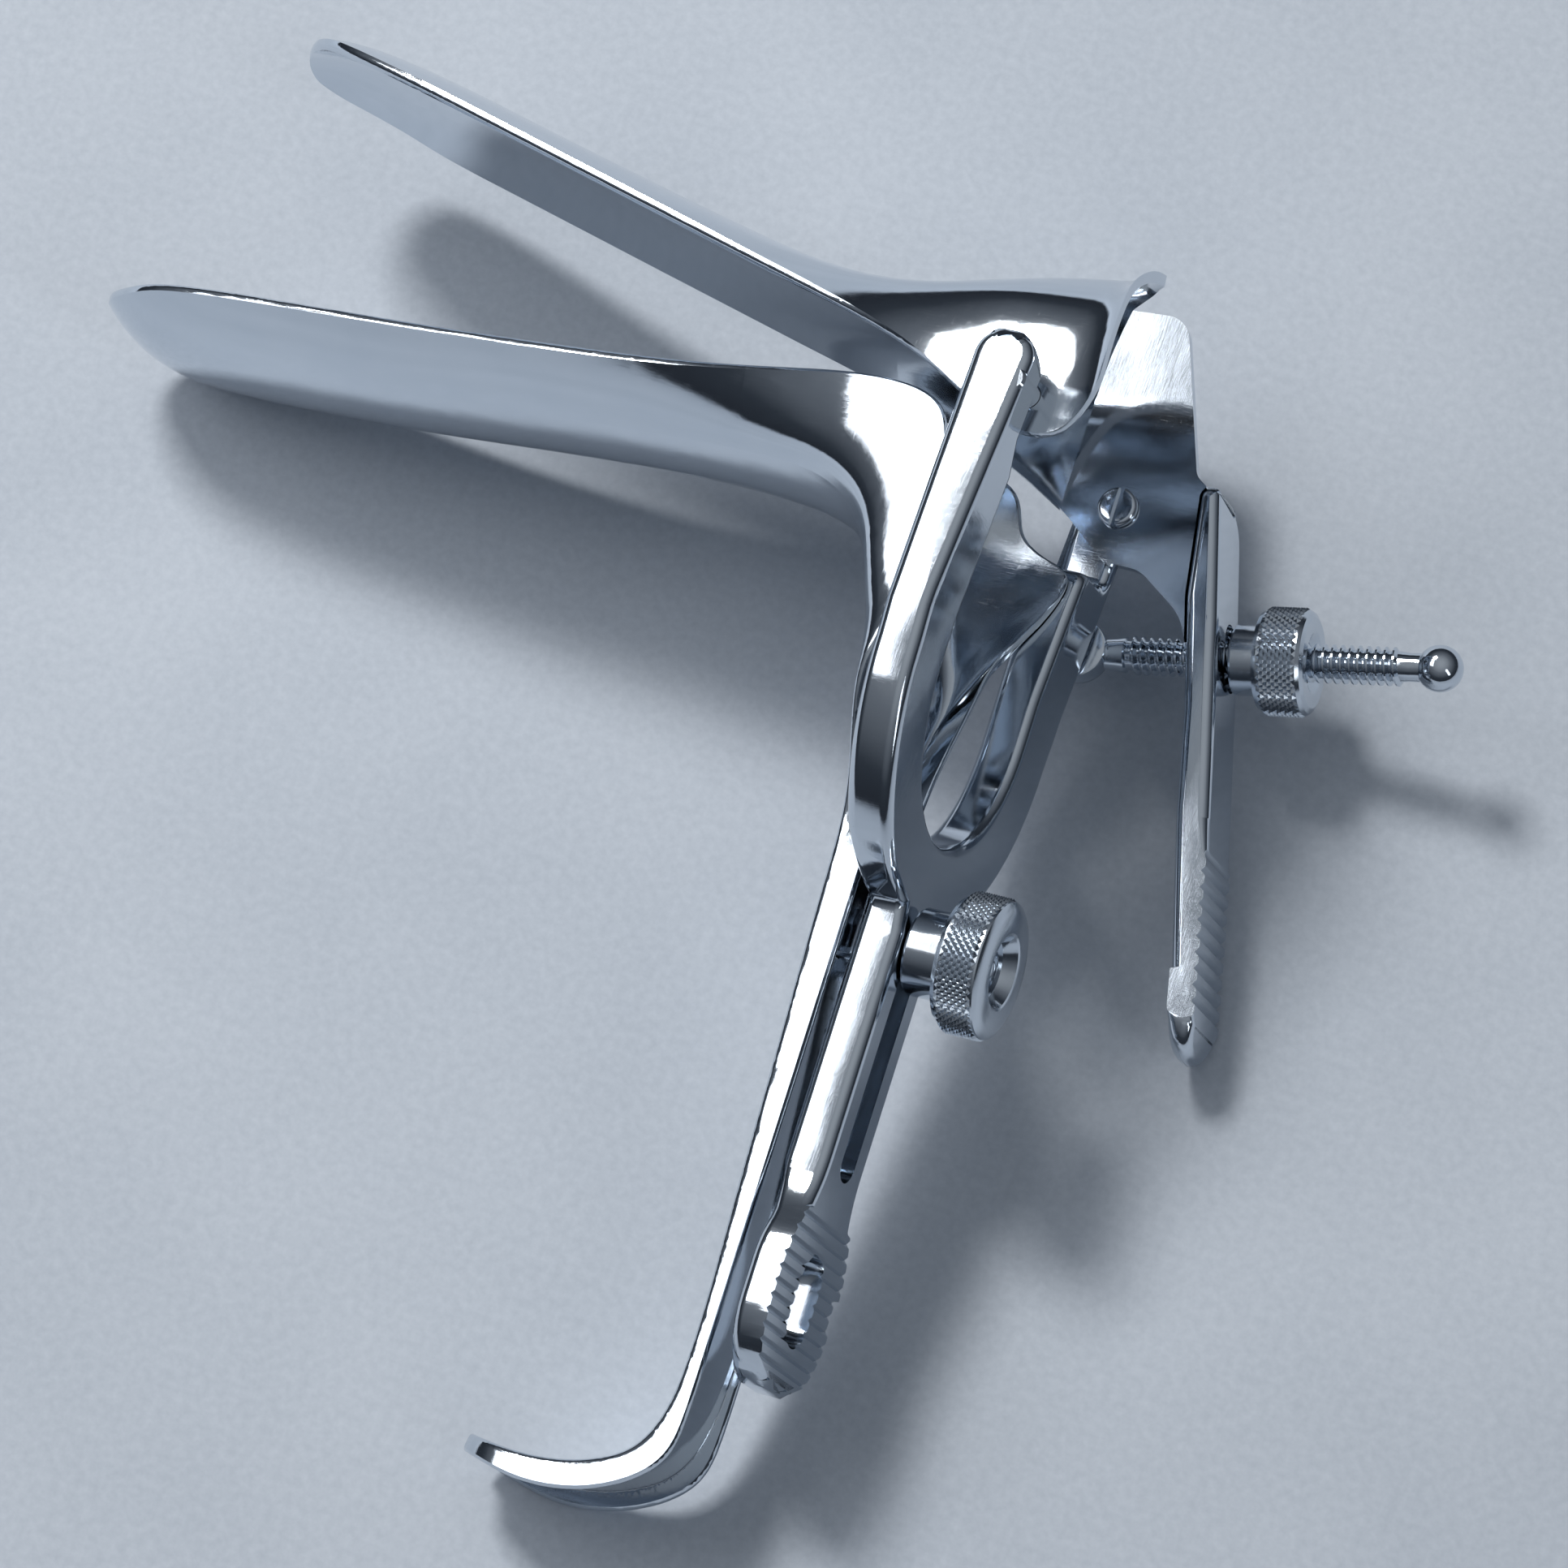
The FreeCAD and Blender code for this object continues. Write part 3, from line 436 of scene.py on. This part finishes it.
def yoke():
    """The whole yoke, cut from its front view and its side view, then rounded, slotted and holed."""
    foot_turn = math.degrees(math.acos(STEM / BOW_RADIUS))
    front = [Vector((21.1, ARM_TOP)), Vector((17.5, 1.2)), Vector((17.5, -6.2)), Vector((ARM_INNER, -10.0))]
    front += arc((0, BOW_Z), ARM_INNER, 0, -180, 32)
    front += [Vector((-ARM_INNER, -12.2))]
    front += arc((-ARM_INNER - 2.0, -12.2), 2.0, 0, 90, 5)[1:]
    front += arc((-21.85, -9.0), 1.2, -90, -180, 5)
    front += [Vector((-23.05, ARM_TOP))]
    front += arc((-ARM_OUTER + 1.2, ARM_TOP - 1.2), 1.2, 90, 180, 5)
    front += [Vector((-ARM_OUTER, BOW_Z + 4))]
    front += arc((0, BOW_Z), BOW_RADIUS, 180, 180 + foot_turn, 24)
    front += rounded([(-STEM, -62.0, 0), (-STEM, -88.0, 14),
                      (-PADDLE, -95.0, 9), (-PADDLE, PADDLE_LOW, 8.5),
                      (PADDLE, PADDLE_LOW, 8.5), (PADDLE, -95.0, 9),
                      (STEM, -88.0, 14), (STEM, -62.0, 0)], 9)
    front += arc((0, BOW_Z), BOW_RADIUS, -foot_turn, 0, 24)
    front += [Vector((ARM_OUTER, BOW_Z + 4)), Vector((23.6, -6.0))]
    front += arc((21.5, ARM_TOP - 1.3), 1.3, 5, 90, 5)
    ribs = []
    for rib in range(RIBS):
        z = RIB_TOP - rib * RIB_PITCH
        ribs += [(STEM_BACK, z + RIB_HALF, 0), (STEM_BACK + RIB_DEPTH, z, 0), (STEM_BACK, z - RIB_HALF, 0)]
    side = rounded([(-4.2, ARM_TOP, 3.2), (-2.4, -26.0, 30), (-2.4, -53.0, 8), (STEM_BACK, -59.0, 8), *ribs,
                    (STEM_BACK, PADDLE_LOW, 1.2), (PADDLE_FRONT, PADDLE_LOW, 1.2), (PADDLE_FRONT, -92.0, 8),
                    (STEM_FRONT, -86.0, 8), (STEM_FRONT, -56.5, 6), (ARM_FRONT, -51.0, 6),
                    (ARM_FRONT, ARM_TOP, 3.2)], 8)
    frame_piece = prism("yoke", from_front(front, -DEEP), (2 * DEEP, 0, 0))
    thickness = prism("yoke_side", from_side(side, -40), (0, 80, 0))
    combine(frame_piece, thickness, "INTERSECT")
    soften(frame_piece, 1.25, 4, 50, ((-4, STEM_BACK + 0.5), (-PADDLE, PADDLE), (-108.0, -90.6)))
    slot = prism("slot", from_front(rounded([(2.25, -57.0, 2.2), (2.25, -86.0, 2.2), (-2.25, -86.0, 2.2),
                                             (-2.25, -57.0, 2.2)], 10), -DEEP), (2 * DEEP, 0, 0))
    combine(frame_piece, slot, "DIFFERENCE")
    hole = prism("hole", from_front(rounded([(3.4, -94.3, 3.35), (3.4, -104.7, 3.35), (-3.4, -104.7, 3.35),
                                             (-3.4, -94.3, 3.35)], 10), -DEEP), (2 * DEEP, 0, 0))
    combine(frame_piece, hole, "DIFFERENCE")
    return finished(frame_piece, "yoke_bar", "yoke", "yoke_frame", polished)


# Thumb lever: a thick bar with a slot for the spindle and a grooved pad

LEVER_NEAR = -21.3
LEVER_FAR = -32.0
LEVER_TOP = 3.8
LEVER_END = -59.6
GROOVES = 10
GROOVE_TOP = Vector((-24.45, -37.2))
GROOVE_PITCH = 1.85
GROOVE_HALF = 0.52
GROOVE_DEPTH = 0.5


def lever():
    """Bar cut from its side view, with the pad's grooves in it, and its front view, then slotted."""
    slope = Vector((-0.225, -0.974))
    outward = Vector((-0.974, 0.225))
    grooves = []
    for number in range(GROOVES):
        middle = GROOVE_TOP + slope * (number * GROOVE_PITCH)
        grooves += [(*(middle - slope * GROOVE_HALF), 0), (*(middle - outward * GROOVE_DEPTH), 0),
                    (*(middle + slope * GROOVE_HALF), 0)]
    side = rounded([(-13.0, -9.0, 10), (-11.0, LEVER_TOP, 1.2), (-13.2, LEVER_TOP, 0.8), (-17.4, -10.7, 30),
                    (-23.4, -33.0, 8), *grooves, (-28.6, -56.0, 3), (-28.6, -60.6, 0), (-26.5, -60.6, 0),
                    (-24.4, -51.0, 20), (-19.3, -33.0, 20), (-16.6, -21.5, 20)], 8)
    front = rounded([(LEVER_NEAR, LEVER_TOP, 0.6), (LEVER_NEAR, LEVER_END, 4.8),
                     (LEVER_FAR, LEVER_END, 4.8), (LEVER_FAR, LEVER_TOP, 4.0)], 10)
    bar = prism("lever", from_side(side, LEVER_FAR - 4), (0, 20, 0))
    combine(bar, prism("lever_front", from_front(front, -40), (40, 0, 0)), "INTERSECT")
    soften(bar, 1.2, 5, 50, ((-31, -24), (-40, -20), (-55.5, -36.4)))
    slot = prism("slot", from_front(rounded([(-25.3, -17.3, 2.65), (-25.3, -9.7, 2.65), (-30.7, -9.7, 2.65),
                                             (-30.7, -17.3, 2.65)], 10), -40), (40, 0, 0))
    combine(bar, slot, "DIFFERENCE")
    return finished(bar, "lever_bar", "upper", "thumb_lever", polished)


# Screws, nuts, stud and spindle

PIVOT = Vector((HINGE_X, 0, HINGE_Z))
PIVOT_RADIUS = 1.5
HEAD_RADIUS = 2.3
FAR_ARM_FACE = 25.0
FAR_SHEET_FACE = 21.35
NEAR_ARM_FACE = 23.0
NEAR_SHEET_FACE = 15.1


def pivot_screw(side, arm_face, sheet_face, name, node):
    """Slotted screw whose flat head, rounded at its rim, lies on the inner face of the sheet."""
    length = arm_face - sheet_face
    line = [(0, 0), (0, 1.2), (0.3, PIVOT_RADIUS), (length, PIVOT_RADIUS), (length, 2.2),
            (length + 0.1, HEAD_RADIUS), (length + 0.4, HEAD_RADIUS), (length + 0.58, 2.26),
            (length + 0.73, 2.15), (length + 0.84, 1.98), (length + 0.9, 1.75), (length + 0.9, 0)]
    screw = lathe("screw", line, 64)
    notch = prism("notch", [(-0.36, -4, length + 0.35), (0.36, -4, length + 0.35), (0.36, 4, length + 0.35),
                            (-0.36, 4, length + 0.35)], (0, 0, 2))
    combine(screw, notch, "DIFFERENCE")
    stand(screw, PIVOT + Vector((0, side * arm_face, 0)), (0, -side, 0))
    return finished(screw, name, "yoke", node, polished, angle=30, weighted=False)


def thread(name, root, crest, pitch, turns, start):
    """Screw thread with flattened crests, cut round a core."""
    line = [(0, root), (pitch * 0.38, crest), (pitch * 0.56, crest), (pitch * 0.94, root), (pitch, root)]
    coil = lathe(name, [(start + height, radius) for height, radius in line], 32, pitch, turns)
    return coil


CLAMP_Z = -59.5
STUD_FOOT_X = 6.9


def stud():
    """Threaded stud with its square, which keeps the handle's web and the stem's slot in line."""
    line = [(0, 0), (0, 1.8), (0.2, 2.0), (4.4, 2.0), (4.6, 1.7), (18.2, 1.7), (18.4, 1.55), (18.75, 1.3),
            (19.1, 0.9), (19.25, 0.45), (19.3, 0)]
    core = lathe("stud", line, 48)
    coil = thread("stud_thread", 1.62, 2.0, 0.8, 16, 4.7)
    square = prism("stud_square", [(-2.6, -2.6, 1.4), (2.6, -2.6, 1.4), (2.6, 2.6, 1.4), (-2.6, 2.6, 1.4)],
                   (0, 0, 3.4))
    soften(square, 0.25, 2, 50)
    whole = join([core, coil, square])
    stand(whole, (STUD_FOOT_X, 0, CLAMP_Z), (-1, 0, 0))
    return finished(whole, "stud_screw", "handle", "clamp_stud", polished, weighted=False)


def clamp():
    """Large knurled nut behind the stem, with the recess in which the stud ends."""
    length = 10.2
    head = 7.9
    end = [(length - 0.75, head - 0.25), (length - 0.55, head - 0.3), (length - 0.25, head - 0.75),
           (length, head - 1.5), (length, 4.3), (length - 0.12, 4.05), (length - 0.9, 3.6),
           (length - 1.6, 3.3), (length - 1.6, 2.1), (length - 1.8, 2.05), (0, 2.05)]
    band = (5.2, length - 0.75, head - 0.3)
    return knurled_nut("clamp_knob", collar_line(2.05, 4.9, 4.6, head, 0.75), band, 58, 10, 0.36,
                       "clamp", "clamp_nut", (STEM_BACK - 0.15, 0, CLAMP_Z), (-1, 0, 0), end)


RISE = math.radians(10.3)
ALONG = Vector((-math.cos(RISE), 0, math.sin(RISE)))
SPINDLE_FOOT = Vector((-1.0, -28.0, -16.65))
STOP_START = 18.1


def stop_nut():
    """Small knurled nut on the spindle, behind the lever."""
    length = 9.0
    head = 6.15
    end = [(length - 0.7, head - 0.22), (length - 0.3, head - 0.5), (length, head - 1.1),
           (length, 3.5), (length - 0.1, 3.3), (length - 0.8, 2.3), (0, 2.25)]
    band = (3.75, length - 0.7, head - 0.26)
    return knurled_nut("stop_knob", collar_line(2.25, 4.0, 3.2, head, 0.6), band, 46, 10, 0.3,
                       "stop", "lever_nut", SPINDLE_FOOT + ALONG * STOP_START, ALONG, end)


def spindle():
    """Threaded rod with a flat eye at its foot and a ball at its end."""
    tip = 41.5
    ball = 2.65
    line = [(3.0, 0), (3.0, 1.75), (4.6, 1.9), (5.4, 2.05), (5.6, 1.7), (36.6, 1.7), (36.8, 1.75),
            (38.2, 1.6)]
    for turn in range(-52, 90, 8):
        angle = math.radians(turn)
        line.append((tip + ball * math.sin(angle), ball * math.cos(angle)))
    line.append((tip + ball, 0))
    rod = lathe("spindle", line, 48)
    coil = thread("spindle_thread", 1.62, 2.2, 1.0, 31, 5.6)
    stand(rod, SPINDLE_FOOT, ALONG)
    stand(coil, SPINDLE_FOOT, ALONG)
    eye = lathe("eye", [(0, 1.4), (0, 3.2), (0.1, 3.4), (0.3, 3.5), (2.7, 3.5), (2.9, 3.4), (3.0, 3.2),
                        (3.0, 1.4), (0, 1.4)], 64)
    stand(eye, (SPINDLE_FOOT.x, -25.55, SPINDLE_FOOT.z), (0, -1, 0))
    whole = join([rod, coil, eye])
    return finished(whole, "spindle_rod", "spindle", "spindle", polished, weighted=False)


yoke()
lever()
pivot_screw(-1, FAR_ARM_FACE, FAR_SHEET_FACE, "far_screw", "far_pivot_screw")
pivot_screw(1, NEAR_ARM_FACE, NEAR_SHEET_FACE, "near_screw", "near_pivot_screw")
stud()
clamp()
spindle()
stop_nut()


# Floor, lights and camera

TABLE_SIZE = 6
TABLE_STOPS = [(0.3, (0.48, 0.53, 0.6)), (0.7, (0.6, 0.65, 0.72))]
ROOM_STOPS = [(0.0, (0.03, 0.035, 0.045)), (0.3, (0.05, 0.06, 0.075)), (0.7, (0.22, 0.24, 0.27)),
              (1.0, (0.5, 0.53, 0.56))]
ROOM_STRENGTH = 0.7


def table():
    """Pale table top with a faint fleck."""
    deselect()
    bpy.ops.mesh.primitive_plane_add(size=TABLE_SIZE, location=(0, 0, 0))
    floor = bpy.context.object
    floor.name = "table"
    finish = Finish("table_board")
    fleck = finish.noise((1, 1, 1), 900, 2, 0.6)
    cloud = finish.noise((1, 1, 1), 22, 3, 0.5)
    tone = fleck * 0.5 + cloud * 0.5
    ramp = finish.node("ShaderNodeValToRGB", None, TABLE_STOPS, Fac=tone)
    finish.feed(finish.shader.inputs["Base Color"], ramp.outputs["Color"])
    finish.shader.inputs["Roughness"].default_value = 0.85
    floor.data.materials.append(finish.material)


def lamp(name, place, aim, size, power, colour):
    """Rectangular area light at a place in metres, turned towards a point, its power in watts."""
    light = bpy.data.lights.new(name, "AREA")
    light.shape = "RECTANGLE"
    light.size = size[0]
    light.size_y = size[1]
    light.energy = power
    light.color = colour
    item = bpy.data.objects.new(name, light)
    bpy.context.scene.collection.objects.link(item)
    item.location = place
    item.rotation_euler = (Vector(aim) - Vector(place)).to_track_quat("-Z", "Y").to_euler()


# The view, fitted to the photograph in the instrument frame, in millimetres
VIEW_RIGHT = (-0.9067, -0.2962, 0.3002)
VIEW_UP = (0.2176, 0.2812, 0.9346)
VIEW_BACK = (-0.3612, 0.9128, -0.1906)
VIEW_SHIFT = (29.13, 38.36)
VIEW_DISTANCE = 820.42
FOCAL_PIXELS = 9234.56
IMAGE_PIXELS = 1932
SENSOR = 36.0


def turned_vector(vector):
    return AHEAD * vector[0] + NEAR * vector[1] + UP * vector[2]


def photo_camera():
    """Camera at the photograph's viewing angle."""
    data = bpy.data.cameras.new("camera")
    data.sensor_width = SENSOR
    data.lens = FOCAL_PIXELS / IMAGE_PIXELS * SENSOR
    data.clip_start = 0.05
    data.clip_end = 20
    camera = bpy.data.objects.new("camera", data)
    bpy.context.scene.collection.objects.link(camera)
    right = turned_vector(VIEW_RIGHT).normalized()
    up = turned_vector(VIEW_UP)
    back = right.cross(up).normalized()
    up = back.cross(right)
    place = ORIGIN + (back * VIEW_DISTANCE - right * VIEW_SHIFT[0] - up * VIEW_SHIFT[1]) * MM
    columns = Matrix((right, up, back)).transposed().to_4x4()
    camera.matrix_world = Matrix.Translation(place) @ columns
    bpy.context.scene.camera = camera
    return camera


def studio():
    """A lamp for the shadows, a long card that the near faces mirror, and a dim room."""
    lamp("key_light", (0.75, -0.62, 1.25), (0, 0, 0), (0.36, 0.36), 16, (1.0, 0.99, 0.97))
    lamp("card", (0.84, 0.02, 0.95), (0.84, 0.02, 0), (0.6, 0.68), 3.8, (0.97, 0.98, 1.0))
    lamp("side_light", (-1.2, 0.5, 0.9), (0, 0, 0.02), (0.25, 0.9), 1.6, (0.9, 0.95, 1.0))
    world = bpy.data.worlds.new("room")
    bpy.context.scene.world = world
    world.use_nodes = True
    tree = world.node_tree
    background = tree.nodes["Background"]
    direction = tree.nodes.new("ShaderNodeTexCoord")
    split = tree.nodes.new("ShaderNodeSeparateXYZ")
    tree.links.new(direction.outputs["Generated"], split.inputs[0])
    ramp = tree.nodes.new("ShaderNodeValToRGB")
    fill_ramp(ramp.color_ramp, ROOM_STOPS)
    tree.links.new(split.outputs["Z"], ramp.inputs[0])
    tree.links.new(ramp.outputs["Color"], background.inputs["Color"])
    background.inputs["Strength"].default_value = ROOM_STRENGTH


table()
photo_camera()
studio()
bpy.context.scene.view_settings.view_transform = "Standard"
